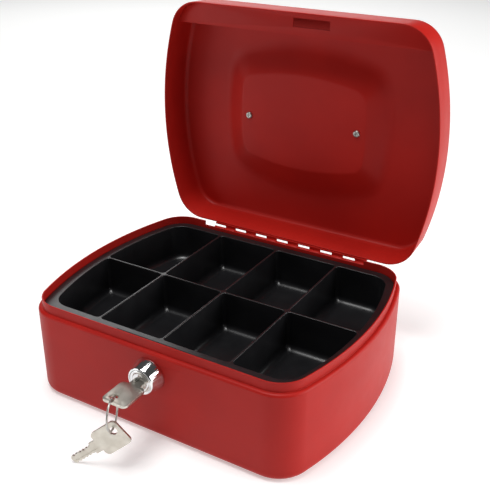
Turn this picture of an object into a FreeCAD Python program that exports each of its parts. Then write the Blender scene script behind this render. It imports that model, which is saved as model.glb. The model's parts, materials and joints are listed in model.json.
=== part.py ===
import FreeCAD, Part

import math
import os
import re

import Sketcher
from FreeCAD import Placement, Rotation, Vector

# Pressed-steel cash box, millimetres, +Z up.
# The origin is on the table plane under the middle of the base. The short sides bow outwards,
# the front wall with the lock faces -Y, and the hinge runs along the back wall at +Y.
# The lid and everything on it is drawn closed and then turned back about the hinge pin.

DIMENSIONS = {
    # box
    "width": 250,            # over the bowed short sides
    "depth": 192,            # front wall to back wall
    "side_bend": 265,        # plan radius of a short side
    "corner": 26,            # plan radius of a vertical corner
    "sheet": 1,              # steel thickness
    "shoulder": 70,          # top of the base wall, where the lid's skirt sits
    "rim_step": 3.2,         # how far the upstanding rim stands in from the wall
    "rim_top": 77.2,
    "base_round": 6,         # edge between wall and floor
    "notch_top": 73.4,       # the back rim is cut down to this over the hinge
    "notch_start": 4.5, "notch_end": 1.5,    # how far the cut runs past the hinge each way
    # lid, closed
    "skirt": 70.3,           # lower edge of the skirt
    "lid_top": 100.4,
    "draft": 1.6,            # how far the lid draws in over its depth
    "lid_round": 4.6,
    # handle recess in the lid
    "dish_depth": 9,
    "dish_mid": -2,          # y of its middle
    "dish_width": 150, "dish_length": 124, "dish_corner": 20,
    "dish_side_bend": 200, "dish_end_bend": 190,
    "dish_floor_width": 114, "dish_floor_length": 80, "dish_floor_corner": 11,
    "dish_floor_side_bend": 220, "dish_floor_end_bend": 205,
    # lock strip, closed
    "strip_low": 77.8, "strip_back": -77, "strip_lip": 6, "strip_inset": 1.7,
    "slot_left": -3.4, "slot_right": 28.2, "slot_front": -90.2, "slot_back": -83.4,
    # hinge
    "pin_y": 100.7, "pin_z": 68.2, "pin_r": 1,
    "knuckle_r": 2, "knuckle_length": 10.5, "knuckle_pairs": 7, "hinge_mid": 1,
    "leaf_height": 11, "leaf_gap": 0.15,
    # coin tray
    "tray_top": 70.9, "tray_flange": 2, "tray_gap": 0.7, "tray_wall": 1.6,
    "rest_left": -78, "rest_right": 62, "rest_long": 16, "rest_leg": 14,
    "rest_front": 10.5, "rest_back": 5.2,
    "tray_deep": 33, "cup_front": -79, "cup_back": 84, "cup_side": 12, "cup_corner": 15,
    "cup_round": 5, "cup_pitch": 56, "rib_drop": 0.5,
    "notch_left": -35.5, "notch_right": 40.5, "notch_deep": 8.2,
    # lock
    "lock_x": 1, "lock_z": 52.5, "lock_face": 107, "collar_foot_r": 12.8, "collar_face_r": 9.9,
    "barrel_r": 8.6, "barrel_end": 87, "plug_r": 6, "keyway_wide": 7, "keyway_high": 2.3,
    "nut_across": 24, "nut_thick": 3.6, "cam_thick": 1.6, "cam_hub": 7, "cam_reach": 30,
    "cam_wide": 6, "barb_in": 26.9, "barb_rise": 8,
    # keys
    "bow_wide": 20, "bow_long": 23, "bow_round": 3.5, "key_thick": 1.8, "neck_wide": 9.5,
    "neck_long": 5.5, "blade_wide": 6.4, "blade_long": 19.5, "key_hole_r": 2.9,
    "key_hole_in": 6, "key_hole_side": 3.5, "ring_r": 11.2, "wire_r": 0.7,
    # handle
    "post_x": 50, "post_in": 7, "post_out": 4.5, "post_bevel": 2.5, "post_long": 12,
    "post_high": 6.6, "bail_r": 2.4, "bail_axis": 3.3, "bail_leg": 39.5, "bail_reach": 35,
    "bail_bend": 6.5, "screw_r": 1.5, "screw_long": 5.6, "head_r": 2.8, "head_thick": 1.5,
}

doc = FreeCAD.newDocument("CashBox")
sheet = doc.addObject("Spreadsheet::Sheet", "dims")
for row, (alias, value) in enumerate(DIMENSIONS.items(), start=1):
    sheet.set("A%d" % row, alias)
    sheet.set("B%d" % row, str(value))
    sheet.setAlias("B%d" % row, alias)
doc.recompute()


SOLID = "PartDesign::Feature"


# ---------------------------------------------------------------- helpers
def rule(expression):
    """An expression on the sheet's cells, with each alias written the way other objects need."""
    def full(match):
        word = match.group()
        return "dims." + word if word in DIMENSIONS else word
    return re.sub("[a-z][a-z_]*", full, str(expression))


def number(expression):
    """The value in millimetres of an expression on the sheet's cells."""
    return float(sheet.evalExpression(rule(expression)))


def new_body(label):
    body = doc.addObject("PartDesign::Body", label)
    body.Label = label
    return body


def new_sketch(body, role, offset="0"):
    """A sketch parallel to an origin plane: XY looks down +Z, XZ looks along +Y, YZ along -X."""
    sketch = body.newObject("Sketcher::SketchObject", "Sketch")
    plane = [f for f in body.Origin.OriginFeatures if f.Role == role][0]
    sketch.AttachmentSupport = [(plane, "")]
    sketch.MapMode = "FlatFace"
    sketch.setExpression("AttachmentOffset.Base.z", rule(offset))
    return sketch


def bind(sketch, constraint, expression):
    """Add a dimensional constraint whose value follows an expression."""
    index = sketch.addConstraint(constraint)
    sketch.setExpression("Constraints[%d]" % index, rule(expression))


def place(sketch, shape, point, across, up):
    """Tie one point of a sketch shape to a place measured from the sketch's origin."""
    for kind, value in (("DistanceX", across), ("DistanceY", up)):
        bind(sketch, Sketcher.Constraint(kind, -1, 1, shape, point, number(value)), value)


def polygon(sketch, corners):
    """Straight-sided loop through corners given as pairs of expressions."""
    points = [Vector(number(x), number(y), 0) for x, y in corners]
    first = sketch.GeometryCount
    count = len(points)
    for i in range(count):
        sketch.addGeometry(Part.LineSegment(points[i], points[(i + 1) % count]))
    for i in range(count):
        after = first + (i + 1) % count
        sketch.addConstraint(Sketcher.Constraint("Coincident", first + i, 2, after, 1))
    for i, (x, y) in enumerate(corners):
        place(sketch, first + i, 1, x, y)


def rectangle(sketch, left, right, low, high):
    polygon(sketch, [(left, low), (right, low), (right, high), (left, high)])


def circle(sketch, x, y, radius):
    centre = Vector(number(x), number(y), 0)
    shape = sketch.addGeometry(Part.Circle(centre, Vector(0, 0, 1), number(radius)))
    bind(sketch, Sketcher.Constraint("Radius", shape, number(radius)), radius)
    place(sketch, shape, 3, x, y)


def arc_between(centre, radius, start, end):
    """Anticlockwise arc about a centre, from the direction of start to that of end."""
    angles = [math.atan2(p.y - centre.y, p.x - centre.x) for p in (start, end)]
    if angles[1] < angles[0]:
        angles[1] += 2 * math.pi
    return Part.ArcOfCircle(Part.Circle(centre, Vector(0, 0, 1), radius), *angles)


def barrel(sketch, half_wide, half_long, side_bend, corner, mid="0", end_bend=None):
    """Rounded outline with bowed short sides, and bowed long sides where end_bend is given."""
    hw, hl, rs, rc, ym = (number(e) for e in (half_wide, half_long, side_bend, corner, mid))
    side = Vector(hw - rs, 0, 0)
    if end_bend is None:
        cy = hl - rc
        cx = side.x + math.sqrt((rs - rc) ** 2 - cy ** 2)
        on_end = Vector(cx, hl, 0)
    else:
        ends = number(end_bend)
        end = Vector(0, hl - ends, 0)
        gap = end - side
        along = ((rs - rc) ** 2 - (ends - rc) ** 2 + gap.Length ** 2) / (2 * gap.Length)
        off = math.sqrt((rs - rc) ** 2 - along ** 2)
        unit = gap / gap.Length
        crossings = [side + unit * along + Vector(-unit.y, unit.x, 0) * off * s for s in (1, -1)]
        cx, cy, _ = max(crossings, key=lambda p: p.x + p.y)
        on_end = end + (Vector(cx, cy, 0) - end).normalize() * ends
    middle = Vector(cx, cy, 0)
    on_side = side + (middle - side).normalize() * rs

    def at(point, sx, sy):
        return Vector(point.x * sx, point.y * sy + ym, 0)

    # anticlockwise from the right side: side, corner, end, corner, side, corner, end, corner
    g = []
    for s in (1, -1):
        g.append(arc_between(at(side, s, s), rs, at(on_side, s, -s), at(on_side, s, s)))
        g.append(arc_between(at(middle, s, s), rc, at(on_side, s, s), at(on_end, s, s)))
        if end_bend is None:
            g.append(Part.LineSegment(at(on_end, s, s), at(on_end, -s, s)))
        else:
            g.append(arc_between(at(end, 1, s), ends, at(on_end, s, s), at(on_end, -s, s)))
        g.append(arc_between(at(middle, -s, s), rc, at(on_end, -s, s), at(on_side, -s, s)))
    first = sketch.GeometryCount
    for shape in g:
        sketch.addGeometry(shape)
    for i in range(8):
        after = first + (i + 1) % 8
        sketch.addConstraint(Sketcher.Constraint("Tangent", first + i, 2, after, 1))
    bind(sketch, Sketcher.Constraint("Radius", first + 1, rc), corner)
    for i in (3, 5, 7):
        sketch.addConstraint(Sketcher.Constraint("Equal", first + 1, first + i))
    for i, sign in ((0, ""), (4, "-")):
        bind(sketch, Sketcher.Constraint("Radius", first + i, rs), side_bend)
        place(sketch, first + i, 3, "%s((%s) - (%s))" % (sign, half_wide, side_bend), mid)
    for i, sign in ((2, "+"), (6, "-")):
        if end_bend is None:
            sketch.addConstraint(Sketcher.Constraint("Horizontal", first + i))
            edge = "(%s) %s (%s)" % (mid, sign, half_long)
            bind(sketch, Sketcher.Constraint("DistanceY", -1, 1, first + i, 1, number(edge)), edge)
        else:
            bind(sketch, Sketcher.Constraint("Radius", first + i, ends), end_bend)
            centre = "(%s) %s ((%s) - (%s))" % (mid, sign, half_long, end_bend)
            place(sketch, first + i, 3, "0", centre)


def box_outline(sketch, inset):
    """Plan outline of the box, drawn in by inset all round."""
    barrel(sketch, "width / 2 - (%s)" % inset, "depth / 2 - (%s)" % inset,
           "side_bend - (%s)" % inset, "corner - (%s)" % inset)


def grow(body, kind, sketch, length, back=False):
    """A Pad or a Pocket. A pad follows the sketch's normal, a pocket goes against it."""
    before = body.Tip.Shape.Volume if body.Tip and body.Tip.isDerivedFrom(SOLID) else 0
    feature = body.newObject("PartDesign::" + kind, kind)
    feature.Profile = sketch
    feature.setExpression("Length", rule(length))
    feature.Reversed = back
    body.Tip = feature
    doc.recompute()
    change = feature.Shape.Volume - before
    if (change > 0) != (kind == "Pad") or abs(change) < 1e-6:
        raise RuntimeError("%s: %s changes nothing" % (body.Label, kind))
    return feature


def loft(body, kind, sketches):
    feature = body.newObject("PartDesign::" + kind, kind)
    feature.Profile = sketches[0]
    feature.Sections = sketches[1:]
    feature.Ruled = True
    body.Tip = feature
    doc.recompute()
    return feature


def edges_at(shape, height):
    """Names of the edges that lie wholly at one height."""
    names = []
    for index, edge in enumerate(shape.Edges, start=1):
        box = edge.BoundBox
        if abs(box.ZMin - height) < 1e-4 and abs(box.ZMax - height) < 1e-4:
            names.append("Edge%d" % index)
    return names


def round_edges(body, names, radius):
    solid = body.Tip
    feature = body.newObject("PartDesign::Fillet", "Fillet")
    feature.Base = (solid, names)
    feature.setExpression("Radius", rule(radius))
    body.Tip = feature
    doc.recompute()
    if "Invalid" in feature.State:
        raise RuntimeError("%s: %s failed" % (body.Label, feature.Label))
    return feature


def turned(label, profile):
    """A piece turned about the Y axis from a profile of (y, radius) pairs."""
    body = new_body(label)
    section = new_sketch(body, "YZ_Plane")
    polygon(section, profile)
    feature = body.newObject("PartDesign::Revolution", "Revolution")
    feature.Profile = section
    feature.ReferenceAxis = (section, ["H_Axis"])
    feature.Angle = 360
    body.Tip = feature
    doc.recompute()
    return body


def at_lock(piece):
    """Move a piece drawn about the Y axis to the lock's own axis."""
    piece.setExpression("Placement.Base.x", rule("lock_x"))
    piece.setExpression("Placement.Base.z", rule("lock_z"))
    return piece


def open_lid(piece):
    """Turn a piece drawn on the closed lid to where it is with the lid open at a right angle."""
    pin = Vector(0, number("pin_y"), number("pin_z"))
    turn = Placement(Vector(0, 0, 0), Rotation(Vector(1, 0, 0), -90), pin)
    piece.Placement = turn.multiply(piece.Placement)
    return piece


# ---------------------------------------------------------------- base
def make_base_shell():
    body = new_body("base_shell")
    outer = new_sketch(body, "XY_Plane")
    box_outline(outer, "0")
    grow(body, "Pad", outer, "shoulder")
    round_edges(body, edges_at(body.Tip.Shape, number("shoulder")), "rim_step - 0.9")
    rim = new_sketch(body, "XY_Plane", "shoulder - sheet")
    box_outline(rim, "rim_step")
    grow(body, "Pad", rim, "rim_top - shoulder + sheet")
    hollow = new_sketch(body, "XY_Plane", "shoulder - sheet")
    box_outline(hollow, "sheet")
    grow(body, "Pocket", hollow, "shoulder - 2 * sheet")
    mouth = new_sketch(body, "XY_Plane", "rim_top")
    box_outline(mouth, "rim_step + sheet")
    grow(body, "Pocket", mouth, "rim_top - shoulder + 1.5 * sheet")
    round_edges(body, edges_at(body.Tip.Shape, number("sheet")), "base_round - sheet")
    round_edges(body, edges_at(body.Tip.Shape, 0), "base_round")
    lock_hole = new_sketch(body, "XZ_Plane", "depth / 2 + sheet")
    circle(lock_hole, "lock_x", "lock_z", "barrel_r + 0.05")
    grow(body, "Pocket", lock_hole, "4 * sheet")
    back_notch = new_sketch(body, "XZ_Plane", "-(depth / 2 - 12)")
    half = "knuckle_pairs * knuckle_length"
    rectangle(back_notch, "hinge_mid - %s - notch_start" % half,
              "hinge_mid + %s + notch_end" % half, "notch_top", "rim_top + 1")
    grow(body, "Pocket", back_notch, "12")
    return body


def make_tray_rests():
    """Four angle brackets, welded to the front and back walls under the tray's flange."""
    body = new_body("tray_rests")
    shelf = "tray_top - tray_flange - 0.05"
    for sign, reach in (("-", "rest_front"), ("+", "rest_back")):
        for left in ("rest_left", "rest_right"):
            wall = "%s(depth / 2 - sheet)" % sign
            inner = "%s(depth / 2 - sheet - %s)" % (sign, reach)
            web = "%s(depth / 2 - 2 * sheet)" % sign
            section = new_sketch(body, "YZ_Plane", left)
            foot = shelf + " - rest_leg"
            polygon(section, [(wall, foot), (web, foot),
                              (web, "%s - sheet" % shelf), (inner, "%s - sheet" % shelf),
                              (inner, shelf), (wall, shelf)])
            grow(body, "Pad", section, "rest_long")
    return body


# ---------------------------------------------------------------- hinge
def make_leaf(label, on_lid):
    """A leaf lies flat on the back wall and its tabs curl round the pin in every other place."""
    body = new_body(label)
    half = "knuckle_pairs * knuckle_length"
    wall = "depth / 2"
    if on_lid:
        tab_low, tab_high = "pin_z + knuckle_r - sheet", "pin_z + knuckle_r"
        corners = [(wall, tab_low), ("pin_y", tab_low), ("pin_y", tab_high),
                   (wall + " + sheet", tab_high), (wall + " + sheet", tab_high + " + leaf_height"),
                   (wall, tab_high + " + leaf_height")]
    else:
        tab_low, tab_high = "pin_z - knuckle_r", "pin_z - knuckle_r + sheet"
        corners = [(wall, tab_low + " - leaf_height"),
                   (wall + " + sheet", tab_low + " - leaf_height"),
                   (wall + " + sheet", tab_low), ("pin_y", tab_low), ("pin_y", tab_high),
                   (wall, tab_high)]
    section = new_sketch(body, "YZ_Plane", "hinge_mid - " + half)
    polygon(section, corners)
    grow(body, "Pad", section, "2 * " + half)
    curl = new_sketch(body, "YZ_Plane", "hinge_mid - " + half)
    circle(curl, "pin_y", "pin_z", "knuckle_r")
    grow(body, "Pad", curl, "2 * " + half)
    bore = new_sketch(body, "YZ_Plane", "hinge_mid + " + half)
    circle(bore, "pin_y", "pin_z", "pin_r + 0.05")
    grow(body, "Pocket", bore, "2 * " + half)
    gaps = new_sketch(body, "XY_Plane", "pin_z + leaf_height")
    for i in range(int(number("knuckle_pairs"))):
        start = "hinge_mid - %s + knuckle_length * %d" % (half, 2 * i + (0 if on_lid else 1))
        rectangle(gaps, start + " - leaf_gap", start + " + knuckle_length + leaf_gap",
                  wall + " + sheet + 0.3", "pin_y + knuckle_r + 1")
    grow(body, "Pocket", gaps, "3 * leaf_height")
    return body


def make_hinge_pin():
    pin = doc.addObject("Part::Cylinder", "hinge_pin")
    pin.Label = "hinge_pin"
    pin.setExpression("Radius", rule("pin_r"))
    pin.setExpression("Height", rule("2 * knuckle_pairs * knuckle_length - 0.4"))
    pin.Placement.Rotation = Rotation(Vector(0, 1, 0), 90)
    start = number("hinge_mid - knuckle_pairs * knuckle_length + 0.2")
    pin.Placement.Base = Vector(start, number("pin_y"), number("pin_z"))
    return pin


# ---------------------------------------------------------------- lid
def dish_outline(sketch, level, extra):
    """Outline of the handle recess at its mouth or its floor, drawn out by extra."""
    barrel(sketch, level + "_width / 2 + " + extra, level + "_length / 2 + " + extra,
           level + "_side_bend + " + extra, level + "_corner + " + extra,
           "dish_mid", level + "_end_bend + " + extra)


def make_lid_shell():
    body = new_body("lid_shell")
    for kind, thick in (("AdditiveLoft", "0"), ("SubtractiveLoft", "sheet")):
        low = new_sketch(body, "XY_Plane", "skirt")
        box_outline(low, thick)
        high = new_sketch(body, "XY_Plane", "lid_top - " + thick)
        box_outline(high, "draft + " + thick)
        loft(body, kind, [low, high])
    for thick in ("sheet", "0"):
        top = number("lid_top - " + thick)
        round_edges(body, edges_at(body.Tip.Shape, top), "lid_round - " + thick)
    for kind, mouth_z, floor_z, extra in (
            ("AdditiveLoft", "lid_top - sheet / 2", "lid_top - dish_depth - sheet", "sheet"),
            ("SubtractiveLoft", "lid_top", "lid_top - dish_depth", "0")):
        mouth = new_sketch(body, "XY_Plane", mouth_z)
        dish_outline(mouth, "dish", extra)
        floor = new_sketch(body, "XY_Plane", floor_z)
        dish_outline(floor, "dish_floor", extra)
        loft(body, kind, [mouth, floor])
    holes = new_sketch(body, "XY_Plane", "lid_top - dish_depth + 1")
    for side in "-+":
        circle(holes, side + "post_x", "dish_mid", "screw_r + 0.1")
    grow(body, "Pocket", holes, "4 * sheet")
    return open_lid(body)


def make_lock_strip():
    """Flat strip across the inside of the lid's front, with the slot that the hook enters."""
    body = new_body("lock_strip")
    plate = new_sketch(body, "XY_Plane", "strip_low")
    box_outline(plate, "strip_inset")
    grow(body, "Pad", plate, "sheet")
    waste = new_sketch(body, "XY_Plane", "strip_low + 2 * sheet")
    rectangle(waste, "-width", "width", "strip_back", "depth")
    grow(body, "Pocket", waste, "4 * sheet")
    lip = new_sketch(body, "XY_Plane", "strip_low")
    rectangle(lip, "-(width / 2 - 14)", "width / 2 - 14", "strip_back - sheet", "strip_back")
    grow(body, "Pad", lip, "strip_lip + sheet")
    slot = new_sketch(body, "XY_Plane", "strip_low + 2 * sheet")
    rectangle(slot, "slot_left", "slot_right", "slot_front", "slot_back")
    grow(body, "Pocket", slot, "4 * sheet")
    return open_lid(body)


# ---------------------------------------------------------------- handle
def make_handle_pivot(label, side):
    """Block on the recess floor: a blind cross hole takes the bail, a screw holds it from inside."""
    body = new_body(label)
    near, far = "%s(post_x - post_in)" % side, "%s(post_x + post_out)" % side
    left, right = (near, far) if side == "+" else (far, near)
    floor = "lid_top - dish_depth"
    section = new_sketch(body, "YZ_Plane", left)
    low, high = "dish_mid - post_long / 2", "dish_mid + post_long / 2"
    top = floor + " + post_high"
    shoulder = top + " - post_bevel"
    polygon(section, [(low, floor), (high, floor), (high, shoulder), (high + " - post_bevel", top),
                      (low + " + post_bevel", top), (low, shoulder)])
    grow(body, "Pad", section, "(%s) - (%s)" % (right, left))
    bore = new_sketch(body, "YZ_Plane", near)
    circle(bore, "dish_mid", floor + " + bail_axis", "bail_r + 0.08")
    grow(body, "Pocket", bore, "4.4", back=(side == "+"))
    thread = new_sketch(body, "XY_Plane", floor)
    circle(thread, "%spost_x" % side, "dish_mid", "screw_r + 0.05")
    grow(body, "Pocket", thread, "post_high - 1", back=True)
    return open_lid(body)


def make_handle_screws():
    """Two cross-head screws, driven from inside the lid."""
    body = new_body("handle_screws")
    under = "lid_top - dish_depth - sheet"
    for radius, length, start in (("screw_r", "screw_long", under),
                                  ("head_r", "head_thick", under + " - head_thick")):
        bar = new_sketch(body, "XY_Plane", start)
        for side in "-+":
            circle(bar, side + "post_x", "dish_mid", radius)
        grow(body, "Pad", bar, length)
    round_edges(body, edges_at(body.Tip.Shape, number(under + " - head_thick")), "0.9")
    for wide, long in (("0.35", "1.7"), ("1.7", "0.35")):
        cross = new_sketch(body, "XY_Plane", under + " - head_thick - 0.1")
        for side in "-+":
            x = side + "post_x"
            rectangle(cross, "%s - %s" % (x, wide), "%s + %s" % (x, wide),
                      "dish_mid - " + long, "dish_mid + " + long)
        grow(body, "Pocket", cross, "1", back=True)
    return open_lid(body)


def make_handle_bail():
    """Round steel bail: two ends turned outwards into the pivots, two legs and a cross bar."""
    z = number("lid_top - dish_depth + bail_axis")
    y = number("dish_mid")
    leg, end, reach = number("bail_leg"), number("post_x - post_in + 4"), number("bail_reach")
    corners = [(-end, 0), (-leg, 0), (-leg, reach), (leg, reach), (leg, 0), (end, 0)]
    points = [Vector(px, y + py, z) for px, py in corners]
    edges = []
    start = points[0]
    for before, corner, after in zip(points, points[1:], points[2:]):
        back = (before - corner).normalize()
        ahead = (after - corner).normalize()
        trim = number("bail_bend" if corner.y > y + 1 else "bail_r + 0.3")
        first, last = corner + back * trim, corner + ahead * trim
        middle = corner + (back + ahead) * trim * (1 - math.sqrt(0.5))
        edges.append(Part.LineSegment(start, first).toShape())
        edges.append(Part.Arc(first, middle, last).toShape())
        start = last
    edges.append(Part.LineSegment(start, points[-1]).toShape())
    section = Part.Wire(Part.Circle(points[0], Vector(1, 0, 0), number("bail_r")).toShape())
    bail = doc.addObject("Part::Feature", "handle_bail")
    bail.Label = "handle_bail"
    bail.Shape = Part.Wire(edges).makePipeShell([section], True, False)
    return open_lid(bail)


# ---------------------------------------------------------------- coin tray
def make_coin_tray():
    """Moulded tray: a flange on the rests, one rounded tub and ribs that part it into eight."""
    body = new_body("coin_tray")
    middle = "(cup_front + cup_back) / 2"
    half = "(cup_back - cup_front) / 2"
    block = new_sketch(body, "XY_Plane", "tray_top - tray_deep")
    barrel(block, "width / 2 - cup_side + tray_wall", half + " + tray_wall",
           "side_bend - cup_side + tray_wall", "cup_corner + tray_wall", middle)
    grow(body, "Pad", block, "tray_deep")
    flange = new_sketch(body, "XY_Plane", "tray_top - tray_flange")
    box_outline(flange, "rim_step + sheet + tray_gap")
    grow(body, "Pad", flange, "tray_flange")
    tub = new_sketch(body, "XY_Plane", "tray_top")
    barrel(tub, "width / 2 - cup_side", half, "side_bend - cup_side", "cup_corner", middle)
    grow(body, "Pocket", tub, "tray_deep - tray_wall")
    for level, radius in (("tray_deep - tray_wall", "cup_round"),
                          ("tray_deep", "cup_round + tray_wall")):
        floor = number("tray_top - (%s)" % level)
        round_edges(body, edges_at(body.Tip.Shape, floor), radius)
    notch = new_sketch(body, "XY_Plane", "tray_top + 1")
    rectangle(notch, "notch_left", "notch_right", "-depth / 2", "-(depth / 2 - 4) + notch_deep")
    grow(body, "Pocket", notch, "tray_flange + 2")
    low, high = "-tray_wall / 2", "tray_wall / 2"
    across = new_sketch(body, "XY_Plane", "tray_top - tray_deep + 0.1")
    for middle in ("-cup_pitch", "0", "cup_pitch"):
        rectangle(across, middle + low, middle + " + " + high,
                  "cup_front + " + low, "cup_back + " + high)
    grow(body, "Pad", across, "tray_deep - 0.1 - rib_drop")
    along = new_sketch(body, "XY_Plane", "tray_top - tray_deep + 0.1")
    reach = "(width / 2 - cup_side + tray_wall / 2)"
    rectangle(along, "-" + reach, reach, low, high)
    grow(body, "Pad", along, "tray_deep - 0.1 - rib_drop")
    return body


# ---------------------------------------------------------------- lock
def make_lock_collar():
    """Tapered trim ring round the barrel, against the front wall."""
    wall, face = "-depth / 2", "-lock_face"
    bore = "barrel_r + 0.05"
    return at_lock(turned("lock_collar", [
        (wall, bore), (wall, "collar_foot_r"), (wall + " - 1.2", "collar_foot_r"),
        (face + " + 1.1", "collar_face_r + 0.4"), (face + " + 0.4", "collar_face_r + 0.1"),
        (face, "collar_face_r - 0.6"), (face, bore)]))


def make_lock_housing():
    face = "-lock_face"
    bore = "plug_r + 0.05"
    return at_lock(turned("lock_housing", [
        ("-barrel_end", bore), ("-barrel_end", "barrel_r"), (face + " + 0.5", "barrel_r"),
        (face, "barrel_r - 0.5"), (face, bore)]))


def make_lock_washer():
    inner = "-(depth / 2 - sheet)"
    return at_lock(turned("lock_washer", [
        (inner, "barrel_r + 0.1"), (inner, "12.2"), (inner + " + 0.8", "12.2"),
        (inner + " + 0.8", "barrel_r + 0.1")]))


def make_lock_nut():
    """Hexagon nut on the barrel's thread, inside the front wall."""
    front = "depth / 2 - sheet - 0.8"
    body = new_body("lock_nut")
    section = new_sketch(body, "XZ_Plane", front + " - nut_thick")
    half, tip, side = "nut_across / 2", "nut_across * 0.57735", "nut_across * 0.288675"
    polygon(section, [(tip, "0"), (side, half), ("-" + side, half), ("-" + tip, "0"),
                      ("-" + side, "-" + half), (side, "-" + half)])
    grow(body, "Pad", section, "nut_thick")
    bore = new_sketch(body, "XZ_Plane", front + " + 1")
    circle(bore, "0", "0", "barrel_r + 0.05")
    grow(body, "Pocket", bore, "nut_thick + 2")
    return at_lock(body)


WAFERS = 5
WAFER_PITCH = 3.1
WAFER_FIRST = "lock_face - 3.6"


def make_lock_plug():
    """Turning plug with the keyway, five wafer slots and a square tail for the hook."""
    body = new_body("lock_plug")
    rear = "barrel_end - 0.3"
    bar = new_sketch(body, "XZ_Plane", rear)
    circle(bar, "0", "0", "plug_r")
    grow(body, "Pad", bar, "lock_face - 0.1 - (%s)" % rear)
    tail = new_sketch(body, "XZ_Plane", rear + " - cam_thick")
    rectangle(tail, "-3", "3", "-3", "3")
    grow(body, "Pad", tail, "cam_thick + 0.1")
    keyway = new_sketch(body, "XZ_Plane", "lock_face + 1")
    rectangle(keyway, "-keyway_wide / 2", "keyway_wide / 2", "-keyway_high / 2", "keyway_high / 2")
    grow(body, "Pocket", keyway, "blade_long + 1.4")
    slots = new_sketch(body, "XY_Plane", "2.6")
    for i in range(WAFERS):
        front = "-(%s - %s * %d)" % (WAFER_FIRST, WAFER_PITCH, i)
        rectangle(slots, "-plug_r - 1", "plug_r + 1", front + " - 0.05", front + " + 1.05")
    grow(body, "Pocket", slots, "5.2")
    return at_lock(body)


def make_lock_wafers():
    """Five flat wafers, held level with the plug by the key's cuts."""
    body = new_body("lock_wafers")
    for i in range(WAFERS):
        front = "%s - %s * %d" % (WAFER_FIRST, WAFER_PITCH, i)
        plate = new_sketch(body, "XZ_Plane", front + " - 1")
        rectangle(plate, "-5.3", "5.3", "-2.5", "2.5")
        rectangle(plate, "-3.7", "3.7", "-1.3", "1.3")
        grow(body, "Pad", plate, "1")
    return at_lock(body)


def make_lock_cam():
    """Hooked bolt on the plug's tail, lying towards +X while the lock is open."""
    body = new_body("lock_cam")
    start = "barrel_end - 0.35 - cam_thick"
    hub = new_sketch(body, "XZ_Plane", start)
    circle(hub, "0", "0", "cam_hub")
    grow(body, "Pad", hub, "cam_thick")
    arm = new_sketch(body, "XZ_Plane", start)
    half = "cam_wide / 2"
    polygon(arm, [("0", "-" + half), ("cam_reach", "-" + half), ("cam_reach", "barb_rise"),
                  ("barb_in + 1.2", "barb_rise"), ("barb_in", "barb_rise - 1.2"),
                  ("barb_in", half), ("0", half)])
    grow(body, "Pad", arm, "cam_thick")
    seat = new_sketch(body, "XZ_Plane", start + " + 2 * cam_thick")
    rectangle(seat, "-3.05", "3.05", "-3.05", "3.05")
    grow(body, "Pocket", seat, "4 * cam_thick")
    return at_lock(body)


def make_cam_screw():
    seat = "-(barrel_end - 0.35 - cam_thick) + 0.05"
    return at_lock(turned("cam_screw", [
        (seat, "0"), (seat, "4"), (seat + " + 1.2", "4"), (seat + " + 1.8", "2.8"),
        (seat + " + 1.8", "0")]))


# ---------------------------------------------------------------- keys
BITTING = (0.5, 1.0, 0.7, 0.3, 0.8)       # depths of the cuts along the blade


def make_key(label):
    """Flat key in its own frame: bow at y = 0, blade towards +Y, hole towards -X."""
    body = new_body(label)
    base = "-key_thick / 2"
    bow = new_sketch(body, "XY_Plane", base)
    rectangle(bow, "-bow_wide / 2", "bow_wide / 2", "0", "bow_long")
    grow(body, "Pad", bow, "key_thick")
    upright = []
    for index, edge in enumerate(body.Tip.Shape.Edges, start=1):
        if edge.BoundBox.ZLength > number("key_thick") - 0.01:
            upright.append("Edge%d" % index)
    round_edges(body, upright, "bow_round")
    start, end = "bow_long + neck_long", "bow_long + neck_long + blade_long"
    half = "blade_wide / 2"
    side = [("neck_wide / 2", "bow_long - 1"), ("neck_wide / 2", start), (half, start)]
    for i, cut in enumerate(BITTING):
        middle = "%s + 3.2 + %s * %d" % (start, WAFER_PITCH, i)
        side += [(half, middle + " - 1.1"), ("%s - %s" % (half, cut), middle + " - 0.5"),
                 ("%s - %s" % (half, cut), middle + " + 0.5"), (half, middle + " + 1.1")]
    side += [(half, end + " - 1.6"), (half + " - 1.7", end)]
    mirrored = [("-(%s)" % x, y) for x, y in reversed(side)]
    blade = new_sketch(body, "XY_Plane", base)
    polygon(blade, side + mirrored)
    grow(body, "Pad", blade, "key_thick")
    for face, back in (("key_thick / 2", False), ("-key_thick / 2", True)):
        groove = new_sketch(body, "XY_Plane", face)
        shift = "0.9" if back else "-0.9"
        rectangle(groove, shift + " - 0.6", shift + " + 0.6", "bow_long + 1.5", end + " + 1")
        grow(body, "Pocket", groove, "0.45", back=back)
    hole = new_sketch(body, "XY_Plane", "key_thick")
    circle(hole, "-key_hole_side", "key_hole_in", "key_hole_r")
    grow(body, "Pocket", hole, "2 * key_thick")
    return body


RING_TURN = math.radians(22)             # the ring's plane, turned from the key's own direction
RING_ALONG = Vector(math.sin(RING_TURN), -math.cos(RING_TURN), 0)
TIP_GAP = 1.7                            # height of the spare key's tip over the table


def ring_centre():
    """The ring hangs by its inside over the strip of metal outside the first key's hole."""
    outer_y = -number("lock_face + neck_long + bow_long")
    hole = Vector(number("lock_x - key_hole_side"), outer_y + number("key_hole_in"), 0)
    top = number("lock_z + key_thick / 2 + 0.9 + wire_r")
    centre = hole + RING_ALONG * number("key_hole_r + 3.5")
    centre.z = top - number("ring_r")
    return centre


def make_key_in_lock():
    key = make_key("key_in_lock")
    key.Placement.Base = Vector(number("lock_x"), -number("lock_face + neck_long + bow_long"),
                                number("lock_z"))
    return key


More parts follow.
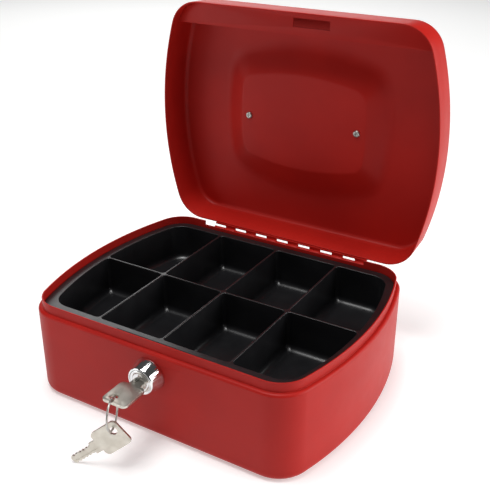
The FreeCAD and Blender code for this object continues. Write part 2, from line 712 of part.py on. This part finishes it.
def make_key_ring():
    ring = doc.addObject("Part::Torus", "key_ring")
    ring.Label = "key_ring"
    ring.setExpression("Radius1", rule("ring_r"))
    ring.setExpression("Radius2", rule("wire_r"))
    across = Vector(-RING_ALONG.y, RING_ALONG.x, 0)
    ring.Placement = Placement(ring_centre(), Rotation(Vector(0, 0, 1), across))
    return ring


def make_key_spare():
    """The spare hangs on the ring's lowest point and its tip comes down to the table."""
    key = make_key("key_spare")
    hang = ring_centre()
    hang.z -= number("ring_r + key_hole_r - wire_r - 0.3")
    along = number("bow_long + neck_long + blade_long - key_hole_in")
    aside = number("key_hole_side")
    slope = math.asin((hang.z - TIP_GAP) / math.hypot(along, aside)) - math.atan2(aside, along)
    level = Vector(RING_ALONG.y, -RING_ALONG.x, 0)
    blade = level * math.cos(slope) - Vector(0, 0, 1) * math.sin(slope)
    normal = RING_ALONG * -1
    turn = Rotation(blade.cross(normal), blade, normal, "ZYX")
    hole = Vector(-aside, number("key_hole_in"), 0)
    key.Placement = Placement(hang - turn.multVec(hole), turn)
    return key


# ---------------------------------------------------------------- the whole box
pieces = [
    make_base_shell(), make_tray_rests(), make_leaf("hinge_leaf_base", False), make_hinge_pin(),
    make_lock_collar(), make_lock_housing(), make_lock_washer(), make_lock_nut(),
    make_lid_shell(), open_lid(make_leaf("hinge_leaf_lid", True)), make_lock_strip(),
    make_handle_pivot("handle_pivot_left", "-"), make_handle_pivot("handle_pivot_right", "+"),
    make_handle_screws(), make_handle_bail(), make_coin_tray(), make_lock_plug(),
    make_lock_wafers(), make_lock_cam(), make_cam_screw(), make_key_in_lock(), make_key_ring(),
    make_key_spare(),
]
doc.recompute()

for item in doc.Objects:
    if "Invalid" in item.State or "Error" in item.State:
        raise RuntimeError("%s is %s" % (item.Label, item.State))
for piece in pieces:
    if piece.Shape.isNull() or not piece.Shape.isValid():
        raise RuntimeError("%s has no valid shape" % piece.Label)

os.makedirs("parts", exist_ok=True)
for piece in pieces:
    piece.Shape.exportStep(os.path.join("parts", piece.Label + ".step"))
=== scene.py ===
import json
import math

import bmesh
import bpy
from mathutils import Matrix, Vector


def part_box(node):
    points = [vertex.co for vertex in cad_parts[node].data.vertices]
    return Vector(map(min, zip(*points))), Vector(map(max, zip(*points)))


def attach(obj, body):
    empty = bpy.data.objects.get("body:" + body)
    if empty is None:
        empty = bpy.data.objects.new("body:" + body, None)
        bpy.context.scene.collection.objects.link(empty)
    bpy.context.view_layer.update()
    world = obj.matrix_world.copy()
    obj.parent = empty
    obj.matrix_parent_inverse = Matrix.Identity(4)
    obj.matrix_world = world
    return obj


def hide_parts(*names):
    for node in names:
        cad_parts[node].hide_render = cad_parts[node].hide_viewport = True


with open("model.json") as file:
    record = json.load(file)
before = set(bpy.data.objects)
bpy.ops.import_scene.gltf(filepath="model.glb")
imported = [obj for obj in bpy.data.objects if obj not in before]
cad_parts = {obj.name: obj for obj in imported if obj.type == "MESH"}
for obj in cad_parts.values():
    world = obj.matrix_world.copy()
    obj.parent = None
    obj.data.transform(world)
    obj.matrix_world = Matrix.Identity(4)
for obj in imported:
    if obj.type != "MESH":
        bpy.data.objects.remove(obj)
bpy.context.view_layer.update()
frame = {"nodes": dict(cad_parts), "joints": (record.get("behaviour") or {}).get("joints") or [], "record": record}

# A red steel cash box, open, with its black coin tray, chrome lock and two keys on a ring.
# Metres, +Z up, the lock faces -Y. The lid is drawn closed and then turned back about its pin.

MM = 0.001


# ---------------------------------------------------------------- places taken from the frame
def joint(name):
    """One of the frame's joints."""
    return [j for j in frame["joints"] if j["name"] == name][0]


PIN = Vector(joint("lid_hinge")["pos_m"])
HANDLE_PIN = Vector(joint("handle_swing")["pos_m"])
LID_LOW, LID_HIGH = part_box("lid_shell")
SHEET = 1 * MM                                  # steel thickness


def opened(point):
    """Where a point drawn on the closed lid is with the lid open at a right angle."""
    return Vector((point.x, PIN.y + point.z - PIN.z, PIN.z - (point.y - PIN.y)))


# ---------------------------------------------------------------- materials
def linear(code):
    """An sRGB hex colour as linear red, green, blue and alpha."""
    parts = [int(code[i:i + 2], 16) / 255 for i in (1, 3, 5)]
    return [c / 12.92 if c <= 0.04045 else ((c + 0.055) / 1.055) ** 2.4 for c in parts] + [1]


def add(tree, kind, settings=(), links=()):
    """One shader node with its attributes or socket values, and links from other nodes' outputs."""
    node = tree.nodes.new("ShaderNode" + kind)
    for key, value in dict(settings).items():
        if isinstance(key, str) and hasattr(node, key):
            setattr(node, key, value)
        else:
            node.inputs[key].default_value = value
    for key, output in dict(links).items():
        tree.links.new(output, node.inputs[key])
    return node


def new_finish(name, **sockets):
    """A material with a Principled shader whose sockets hold the finish's plain numbers."""
    finish = bpy.data.materials.new(name)
    finish.use_nodes = True
    tree = finish.node_tree
    shader = tree.nodes["Principled BSDF"]
    for key, value in sockets.items():
        shader.inputs[key.replace("_", " ")].default_value = value
    place = add(tree, "TexCoord").outputs["Object"]
    return finish, tree, shader, place


def per_metre(size):
    """Noise or Voronoi scale that gives features of that size in metres."""
    return 1 / size


def mottled(tree, place, size, colours):
    """A noise between two colours, patches as large as size."""
    noise = add(tree, "TexNoise", {"Scale": per_metre(size), "Detail": 3}, {"Vector": place})
    ramp = add(tree, "ValToRGB", (), {"Fac": noise.outputs["Fac"]})
    for stop, position, colour in zip(ramp.color_ramp.elements, (0.35, 0.65), colours):
        stop.position = position
        stop.color = colour
    return ramp.outputs["Color"]


def varied(tree, place, size, low, high):
    """A number that wanders between low and high over patches as large as size."""
    noise = add(tree, "TexNoise", {"Scale": per_metre(size), "Detail": 4}, {"Vector": place})
    spread = add(tree, "MapRange", {3: low, 4: high}, {"Value": noise.outputs["Fac"]})
    return spread.outputs["Result"]


def raised(tree, heights, depth):
    """A bump from a height field, depth in metres, on the shader's normal."""
    return add(tree, "Bump", {"Distance": depth, "Strength": 1}, {"Height": heights}).outputs["Normal"]


def sprayed_enamel(name, deep, bright):
    """Stoved enamel sprayed on pressed steel: an even red with a faint orange peel, half gloss."""
    finish, tree, shader, place = new_finish(name, IOR=1.48, Specular_IOR_Level=0.2)
    colour = mottled(tree, place, 45 * MM, (linear(deep), linear(bright)))
    tree.links.new(colour, shader.inputs["Base Color"])
    tree.links.new(varied(tree, place, 12 * MM, 0.40, 0.52), shader.inputs["Roughness"])
    # orange peel about 1 mm across, over a slower wave in the coat
    peel = add(tree, "TexNoise", {"Scale": per_metre(1.1 * MM), "Detail": 2}, {"Vector": place})
    wave = add(tree, "TexNoise", {"Scale": per_metre(9 * MM), "Detail": 1}, {"Vector": place})
    both = add(tree, "Math", {"operation": "ADD"},
               {0: peel.outputs["Fac"], 1: wave.outputs["Fac"]})
    tree.links.new(raised(tree, both.outputs["Value"], 0.03 * MM), shader.inputs["Normal"])
    return finish


def moulded_polystyrene(name):
    """Black polystyrene from a lightly textured mould: soft wide highlights, a few rub marks."""
    finish, tree, shader, place = new_finish(name, IOR=1.55, Specular_IOR_Level=0.5)
    colour = mottled(tree, place, 30 * MM, (linear("#121214"), linear("#1a1a1c")))
    tree.links.new(colour, shader.inputs["Base Color"])
    tree.links.new(varied(tree, place, 8 * MM, 0.26, 0.42), shader.inputs["Roughness"])
    grain = add(tree, "TexNoise", {"Scale": per_metre(0.6 * MM), "Detail": 3}, {"Vector": place})
    tree.links.new(raised(tree, grain.outputs["Fac"], 0.02 * MM), shader.inputs["Normal"])
    return finish


def plated_metal(name, colours, rough, size, scratch=0.0):
    """Plating over steel or zinc: a metal with slow changes of tone and gloss."""
    finish, tree, shader, place = new_finish(name, Metallic=1.0)
    tree.links.new(mottled(tree, place, size, [linear(c) for c in colours]), shader.inputs["Base Color"])
    tree.links.new(varied(tree, place, size / 3, *rough), shader.inputs["Roughness"])
    if scratch:
        # handling and tumbling leave fine marks, longer one way than the other
        stretch = add(tree, "Mapping", {"vector_type": "POINT"}, {"Vector": place})
        stretch.inputs["Scale"].default_value = (1, 9, 3)
        marks = add(tree, "TexNoise", {"Scale": per_metre(1.2 * MM), "Detail": 5},
                    {"Vector": stretch.outputs["Vector"]})
        tree.links.new(raised(tree, marks.outputs["Fac"], scratch), shader.inputs["Normal"])
    return finish


BASE_RED = sprayed_enamel("red stoved enamel, base", "#a61913", "#ae1c15")
LID_RED = sprayed_enamel("red stoved enamel, lid", "#aa1a13", "#b21d15")
FINISHES = {
    "base_enamel": BASE_RED,
    "lid_enamel": LID_RED,
    "tray_plastic": moulded_polystyrene("black moulded polystyrene"),
    # chrome on a turned zinc collar: sharp light and dark bands
    "chrome_trim": plated_metal("polished chrome plate", ("#dcdcde", "#eceded"), (0.07, 0.13), 9 * MM),
    # zinc on steel: grey, cloudy and half matt
    "zinc_plate": plated_metal("bright zinc plate", ("#a9a8a4", "#c6c4be"), (0.28, 0.42), 4 * MM,
                               scratch=0.01 * MM),
    # nickel on steel, tumbled: warm grey with fine short marks
    "nickel_key": plated_metal("tumbled nickel plate", ("#c3bdb2", "#d2cdc3"), (0.28, 0.42), 7 * MM,
                               scratch=0.012 * MM),
    # brass wafers: yellow, half bright
    "brass_lock": plated_metal("machined brass", ("#b08d45", "#c9a55a"), (0.25, 0.35), 3 * MM,
                               scratch=0.01 * MM),
    # nickel on bent wire: smoother than the keys, soft long highlights
    "handle_plate": plated_metal("satin nickel plate", ("#bdbab4", "#cfccc6"), (0.18, 0.28), 12 * MM),
    "pivot_plastic": moulded_polystyrene("black moulded nylon"),
}


def dress(piece, slot_name):
    """Gives a piece the one finish of its slot."""
    piece.data.materials.clear()
    piece.data.materials.append(FINISHES[slot_name])


# ---------------------------------------------------------------- pressed and moulded edges
EDGE_ROUND = {                                  # millimetres
    "base_shell": 0.3, "tray_rests": 0.3, "lock_strip": 0.3,
    "hinge_leaf_base": 0.2, "hinge_leaf_lid": 0.2,
    "handle_pivot_left": 0.6, "handle_pivot_right": 0.6, "handle_screws": 0.12,
    "lock_collar": 0.2, "lock_housing": 0.2, "lock_plug": 0.15, "lock_washer": 0.15,
    "lock_nut": 0.35, "lock_cam": 0.2, "cam_screw": 0.15, "lock_wafers": 0.08,
    "key_in_lock": 0.22, "key_spare": 0.22}
RINGED = ("base_shell",)                        # its flat faces have holes, so they stay divided


def soften(piece, radius):
    """Takes the sharpness off a piece's edges and shades its round faces smoothly."""
    weld = piece.modifiers.new("joined corners", "WELD")
    weld.merge_threshold = 0.002 * MM
    if piece.name not in RINGED:
        flat = piece.modifiers.new("whole faces", "DECIMATE")
        flat.decimate_type = "DISSOLVE"
        flat.angle_limit = math.radians(0.4)
    edge = piece.modifiers.new("soft edges", "BEVEL")
    edge.width = radius * MM
    edge.segments = 2
    edge.limit_method = "ANGLE"
    edge.angle_limit = math.radians(35)
    edge.harden_normals = piece.name not in RINGED
    piece.data.shade_smooth()
    if piece.name in RINGED:
        shading = piece.modifiers.new("flat faces stay flat", "WEIGHTED_NORMAL")
        shading.mode = "FACE_AREA"
        shading.weight = 100


slots = {part["node"]: part["material_slot"] for part in frame["record"]["subparts"]}
for node, piece in frame["nodes"].items():
    dress(piece, slots[node])
    if node in EDGE_ROUND:
        soften(piece, EDGE_ROUND[node])


# ---------------------------------------------------------------- pressed lid
STRAIGHT = 50                                   # plan radius that passes for a straight end
ARC_STEPS = {"side": 28, "corner": 12, "end": 24}


def outline(half_wide, half_long, side_bend, corner, middle, end_bend=STRAIGHT):
    """Rounded outline with bowed sides, anticlockwise from the right, in as many points each time."""
    side, end = half_wide - side_bend, half_long - end_bend
    reach_side, reach_end = side_bend - corner, end_bend - corner
    apart = math.hypot(side, end)
    along = (reach_side ** 2 - reach_end ** 2 + apart ** 2) / (2 * apart)
    off = math.sqrt(reach_side ** 2 - along ** 2)
    unit = Vector((-side, end)) / apart
    across = Vector((-unit.y, unit.x))
    foot = Vector((side, 0)) + unit * along
    centre = max((foot + across * off, foot - across * off), key=lambda p: p.x + p.y)
    low = math.atan2(centre.y, centre.x - side)
    high = math.atan2(centre.y - end, centre.x)
    half_turn = math.pi
    points = []
    for turn in (0, half_turn):
        flip = -1 if turn else 1
        for kind, hub, radius, first, last in (
                ("side", Vector((side * flip, 0)), side_bend, turn - low, turn + low),
                ("corner", centre * flip, corner, turn + low, turn + high),
                ("end", Vector((0, end * flip)), end_bend, turn + high, turn + half_turn - high),
                ("corner", Vector((-centre.x, centre.y)) * flip, corner,
                 turn + half_turn - high, turn + half_turn - low)):
            for step in range(ARC_STEPS[kind]):
                angle = first + (last - first) * step / ARC_STEPS[kind]
                points.append(hub + Vector((math.cos(angle), math.sin(angle))) * radius)
    return [Vector((p.x, p.y + middle, 0)) for p in points]


def level(points, height):
    """The same outline at a height."""
    return [Vector((p.x, p.y, height)) for p in points]


def between(start, end, share):
    """An outline a share of the way from one to another of equally many points."""
    return [a.lerp(b, share) for a, b in zip(start, end)]


def walls(mesh, rings):
    """Faces between rings of equally many points. Returns the first and last ring's corners."""
    rows = [[mesh.verts.new(p) for p in ring] for ring in rings]
    for lower, upper in zip(rows, rows[1:]):
        for i in range(len(lower)):
            after = (i + 1) % len(lower)
            mesh.faces.new((lower[i], lower[after], upper[after], upper[i]))
    return rows[0], rows[-1]


def placed(name, mesh):
    """A piece in the scene from a finished mesh, with its faces outward and shaded smoothly."""
    bmesh.ops.recalc_face_normals(mesh, faces=mesh.faces)
    data = bpy.data.meshes.new(name)
    mesh.to_mesh(data)
    mesh.free()
    data.shade_smooth()
    piece = bpy.data.objects.new(name, data)
    bpy.context.collection.objects.link(piece)
    return piece


HALF_WIDE = LID_HIGH.x
HALF_LONG = (LID_HIGH.z - LID_LOW.z) / 2
SKIRT = PIN.z + LID_LOW.y - PIN.y               # heights on the closed lid
LID_TOP = PIN.z + LID_HIGH.y - PIN.y
SIDE_BEND = 265 * MM                            # radius of the box's bowed sides
BOX_CORNER = 26 * MM
LID_ROUND = 4.6 * MM
DRAFT = 1.6 * MM                                # how far the lid draws in over its height
DISH_DEPTH = 9 * MM
DISH_MIDDLE = PIN.y + PIN.z - HANDLE_PIN.z      # the handle folds about its middle
MOUTH_BLEND, FLOOR_BLEND = 0.28, 0.06           # share of the dish's slope that each bend takes


def box_ring(inset, height):
    """The box's own outline, drawn in by inset, at a height."""
    return level(outline(HALF_WIDE - inset, HALF_LONG - inset, SIDE_BEND - inset,
                         BOX_CORNER - inset, 0), height)


def dish_drop(share):
    """Depth of the dish at a share of its slope, with both bends rounded."""
    if share < MOUTH_BLEND:
        return (share + MOUTH_BLEND) ** 2 / (4 * MOUTH_BLEND)
    if share > 1 - FLOOR_BLEND:
        return 1 - (1 + FLOOR_BLEND - share) ** 2 / (4 * FLOOR_BLEND)
    return share


def make_lid():
    """Pressed shell: skirt, drafted wall, rounded edge, flat panel and the handle's dish."""
    rings = [box_ring(0, SKIRT), box_ring(DRAFT * 0.5, (SKIRT + LID_TOP) / 2)]
    edge_steps, slope_steps = 8, 32
    for step in range(edge_steps + 1):
        angle = math.radians(90 * step / edge_steps)
        rings.append(box_ring(DRAFT * 0.85 + LID_ROUND * (1 - math.cos(angle)),
                              LID_TOP - LID_ROUND * (1 - math.sin(angle))))
    mouth = outline(half_wide=75 * MM, half_long=62 * MM, side_bend=200 * MM,
                    corner=20 * MM, middle=DISH_MIDDLE, end_bend=190 * MM)
    floor = outline(half_wide=57 * MM, half_long=40 * MM, side_bend=220 * MM,
                    corner=11 * MM, middle=DISH_MIDDLE, end_bend=205 * MM)
    lip = level(between(mouth, floor, -MOUTH_BLEND), LID_TOP)
    rings += [between(rings[-1], lip, share) for share in (0.35, 0.7)]
    for step in range(slope_steps + 1):
        share = -MOUTH_BLEND + (1 + MOUTH_BLEND + FLOOR_BLEND) * step / slope_steps
        rings.append(level(between(mouth, floor, share), LID_TOP - DISH_DEPTH * dish_drop(share)))
    hub = [Vector((0, DISH_MIDDLE, LID_TOP - DISH_DEPTH))] * len(lip)
    rings += [between(rings[-1], hub, share) for share in (0.3, 0.6, 0.85)]
    mesh = bmesh.new()
    _, last = walls(mesh, [[opened(p) for p in ring] for ring in rings])
    middle = mesh.verts.new(opened(sum(rings[-1], Vector()) / len(last)))
    for i, corner in enumerate(last):
        mesh.faces.new((corner, last[(i + 1) % len(last)], middle))
    lid = placed("lid_pressing", mesh)
    wall = lid.modifiers.new("sheet", "SOLIDIFY")
    wall.thickness = SHEET
    wall.offset = -1
    wall.use_even_offset = True
    edge = lid.modifiers.new("soft edges", "BEVEL")
    edge.width = 0.3 * MM
    edge.segments = 2
    edge.angle_limit = math.radians(50)
    lid.data.materials.append(LID_RED)
    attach(lid, "lid")
    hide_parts("lid_shell")


make_lid()


# ---------------------------------------------------------------- moulded coin tray
TRAY_LOW, TRAY_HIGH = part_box("coin_tray")
TRAY_FLANGE = 2 * MM
TRAY_WALL = 1.6 * MM
CUP_FRONT, CUP_BACK = -79 * MM, 84 * MM
CUP_PITCH = 56 * MM
CUP_SIDE = 12 * MM                              # from the box's side to the outer cups
TUB_CORNER = 15 * MM
CUP_CORNER = 3 * MM
CUP_ROUND = 5 * MM                              # between a cup's walls and its floor
TRAY_LIP = 0.5 * MM                             # round of the moulding's upper edges
NOTCH_LEFT, NOTCH_RIGHT, NOTCH_BACK = -35.5 * MM, 40.5 * MM, -83.8 * MM
SHARP_TURN = 0.7                                # radians, more than any step along a round
CORNER_ROOM = 1.3                               # points this many radii from a corner make way


def tub_outline(grown):
    """The plan of the inside of the tub, let out by grown."""
    return outline(HALF_WIDE - CUP_SIDE + grown, (CUP_BACK - CUP_FRONT) / 2 + grown,
                   SIDE_BEND - CUP_SIDE + grown, TUB_CORNER + grown, (CUP_FRONT + CUP_BACK) / 2)


def clipped(points, axis, limit, side):
    """The part of a convex outline on one side of a line across an axis."""
    kept = []
    for i, end in enumerate(points):
        start = points[i - 1]
        inside = [(p[axis] - limit) * side >= 0 for p in (start, end)]
        if inside[0] != inside[1]:
            kept.append(start.lerp(end, (limit - start[axis]) / (end[axis] - start[axis])))
        if inside[1]:
            kept.append(end)
    return kept


def eased(points, radius, steps=5):
    """Rounds the sharp corners of a convex outline."""
    around = list(zip(points[-1:] + points[:-1], points, points[1:] + points[:1]))
    sharp = [p for before, p, after in around if (p - before).angle(after - p) > SHARP_TURN]
    kept = [p for p in points
            if p in sharp or all((p - corner).length > CORNER_ROOM * radius for corner in sharp)]
    result = []
    for i, corner in enumerate(kept):
        if corner not in sharp:
            result.append(corner)
            continue
        back = (kept[i - 1] - corner).normalized()
        ahead = (kept[(i + 1) % len(kept)] - corner).normalized()
        half = back.angle(ahead) / 2
        hub = corner + (back + ahead).normalized() * radius / math.sin(half)
        first, last = (corner + way * radius / math.tan(half) - hub for way in (back, ahead))
        result += [hub + first.normalized().slerp(last.normalized(), step / steps) * radius
                   for step in range(steps + 1)]
    return result


def shrunk(points, inset):
    """Draws an outline in by the same amount on each side of its box."""
    spans = [(min(p[i] for p in points), max(p[i] for p in points)) for i in (0, 1)]
    middles = [sum(span) / 2 for span in spans]
    scales = [1 - 2 * inset / (high - low) for low, high in spans]
    return [Vector([m + (p[i] - m) * k for i, (m, k) in enumerate(zip(middles, scales))] + [0])
            for p in points]


def cup_mouth(column, row):
    """One cup's plan: the tub's inside, between the walls that part the cups."""
    plan, half = tub_outline(0), TRAY_WALL / 2
    if column > -2:
        plan = clipped(plan, 0, CUP_PITCH * column + half, 1)
    if column < 1:
        plan = clipped(plan, 0, CUP_PITCH * (column + 1) - half, -1)
    side = 1 if row else -1
    return eased(clipped(plan, 1, half * side, side), CUP_CORNER)


def flange_outline(inset):
    """The flange's plan, with the gap for the lock in its front edge."""
    grown = HALF_WIDE - TRAY_HIGH.x + inset
    plan = box_ring(grown, 0)
    left, right, front = NOTCH_LEFT - inset, NOTCH_RIGHT + inset, min(p.y for p in plan)
    plan = [p for p in plan if p.y > 0 or not left <= p.x <= right]
    start = next(i for i, p in enumerate(plan)
                 if p.x <= left and plan[(i + 1) % len(plan)].x >= right)
    gap = [(left, front), (left, NOTCH_BACK + inset), (right, NOTCH_BACK + inset), (right, front)]
    return plan[:start + 1] + [Vector((x, y, 0)) for x, y in gap] + plan[start + 1:]


def rounded_edge(shape, high, radius, low, steps=4):
    """Rings of shape(inset) over an edge: rounded in from the top, then down to a level."""
    rings = []
    for step in range(steps + 1):
        angle = math.radians(90 * step / steps)
        rings.append(level(shape(radius * (1 - math.sin(angle))),
                           high - radius * (1 - math.cos(angle))))
    return rings + [level(shape(0), low)]


def rounded_floor(shape, floor, radius, steps=5):
    """Rings of shape(inset) down a wall's foot and a little way over the floor."""
    rings = []
    for step in range(steps + 1):
        angle = math.radians(90 * step / steps)
        rings.append(level(shape(radius * (1 - math.cos(angle))),
                           floor + radius * (1 - math.sin(angle))))
    return rings


def make_coin_tray():
    """Flange and tub in one moulding, eight rounded cups and a gap in front for the lock."""
    top, bottom = TRAY_HIGH.z, TRAY_LOW.z
    under = top - TRAY_FLANGE
    mesh = bmesh.new()

    def cover(loops):
        edges = [mesh.edges.get((loop[i - 1], loop[i])) for loop in loops for i in range(len(loop))]
        bmesh.ops.triangle_fill(mesh, use_beauty=True, edges=edges)

    rim, rim_low = walls(mesh, rounded_edge(flange_outline, top, TRAY_LIP, under))
    tub, tub_floor = walls(mesh, [level(tub_outline(TRAY_WALL), under)]
                           + rounded_floor(lambda inset: tub_outline(TRAY_WALL - inset), bottom,
                                           CUP_ROUND + TRAY_WALL))
    mesh.faces.new(tub_floor)
    mouths = []
    for column in range(-2, 2):
        for row in (0, 1):
            plan = cup_mouth(column, row)
            lip = rounded_edge(lambda inset: shrunk(plan, -inset), top, TRAY_LIP, top - MM)
            foot = rounded_floor(lambda inset: shrunk(plan, inset), bottom + TRAY_WALL, CUP_ROUND)
            mouth, cup_floor = walls(mesh, lip + foot)
            mesh.faces.new(cup_floor)
            mouths.append(mouth)
    cover([rim] + mouths)
    cover([rim_low, tub])
    tray = placed("coin_tray_moulding", mesh)
    shading = tray.modifiers.new("flat faces stay flat", "WEIGHTED_NORMAL")
    shading.keep_sharp = True
    shading.weight = 90
    tray.data.materials.append(FINISHES["tray_plastic"])
    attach(tray, "tray")
    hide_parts("coin_tray")


make_coin_tray()


# ---------------------------------------------------------------- floor, light and camera
def make_floor():
    """A wide pale floor that glows a little, so that it stays white away from the lights."""
    mesh = bpy.data.meshes.new("floor")
    reach = 6
    mesh.from_pydata([(-reach, -reach, 0), (reach, -reach, 0), (reach, reach, 0), (-reach, reach, 0)],
                     [], [(0, 1, 2, 3)])
    finish, _, shader, _ = new_finish("pale studio floor", Roughness=0.8)
    shader.inputs["Base Color"].default_value = linear("#e4e4e3")
    shader.inputs["Emission Color"].default_value = (1, 1, 1, 1)
    shader.inputs["Emission Strength"].default_value = 0.4
    mesh.materials.append(finish)
    floor = bpy.data.objects.new("floor", mesh)
    floor.location.z = -0.1 * MM
    bpy.context.collection.objects.link(floor)


def make_light(name, place, aim, size, watts):
    """A softbox at place, aimed at a point."""
    lamp = bpy.data.lights.new(name, "AREA")
    lamp.shape = "RECTANGLE"
    lamp.size, lamp.size_y = size
    lamp.energy = watts
    softbox = bpy.data.objects.new(name, lamp)
    softbox.location = place
    softbox.rotation_euler = (Vector(aim) - Vector(place)).to_track_quat("-Z", "Y").to_euler()
    bpy.context.collection.objects.link(softbox)


def make_world():
    """White all round for the eye, with a dimmer even light for the box."""
    world = bpy.data.worlds.new("studio")
    bpy.context.scene.world = world
    world.use_nodes = True
    tree = world.node_tree
    soft = tree.nodes["Background"]
    soft.inputs["Color"].default_value = (1, 1, 1, 1)
    soft.inputs["Strength"].default_value = 0.06
    white = add(tree, "Background", {"Color": (1, 1, 1, 1), "Strength": 1.0})
    mix = add(tree, "MixShader", (), {0: add(tree, "LightPath").outputs["Is Camera Ray"],
                                      1: soft.outputs[0], 2: white.outputs[0]})
    tree.links.new(mix.outputs[0], tree.nodes["World Output"].inputs["Surface"])


def make_camera():
    """Long lens, from the front and a little to the right, looking down at the open box."""
    azimuth, elevation, distance = math.radians(31.1), math.radians(25.94), 0.642
    aim = Vector((-0.8, 34.0, 96.2)) * MM
    back = Vector((math.sin(azimuth) * math.cos(elevation),
                   -math.cos(azimuth) * math.cos(elevation), math.sin(elevation)))
    camera = bpy.data.objects.new("camera", bpy.data.cameras.new("camera"))
    camera.data.lens = 60
    camera.data.sensor_width = 36
    camera.location = aim + back * distance
    camera.rotation_euler = (-back).to_track_quat("-Z", "Y").to_euler()
    bpy.context.collection.objects.link(camera)
    bpy.context.scene.camera = camera


make_floor()
make_world()
make_light("right softbox", (1.3, 0.5, 0.5), (0, 0, 0.1), (1.2, 0.9), 19)
make_light("top softbox", (-0.1, -0.2, 1.6), (0, 0.05, 0.1), (0.7, 0.7), 19)
make_light("back softbox", (-1.0, 1.4, 0.9), (0, 0, 0.1), (1.3, 0.9), 9)
make_light("front softbox", (-1.2, -1.0, 0.25), (0, -0.05, 0.1), (0.7, 0.5), 3.4)
make_camera()
bpy.context.scene.view_settings.view_transform = "Standard"
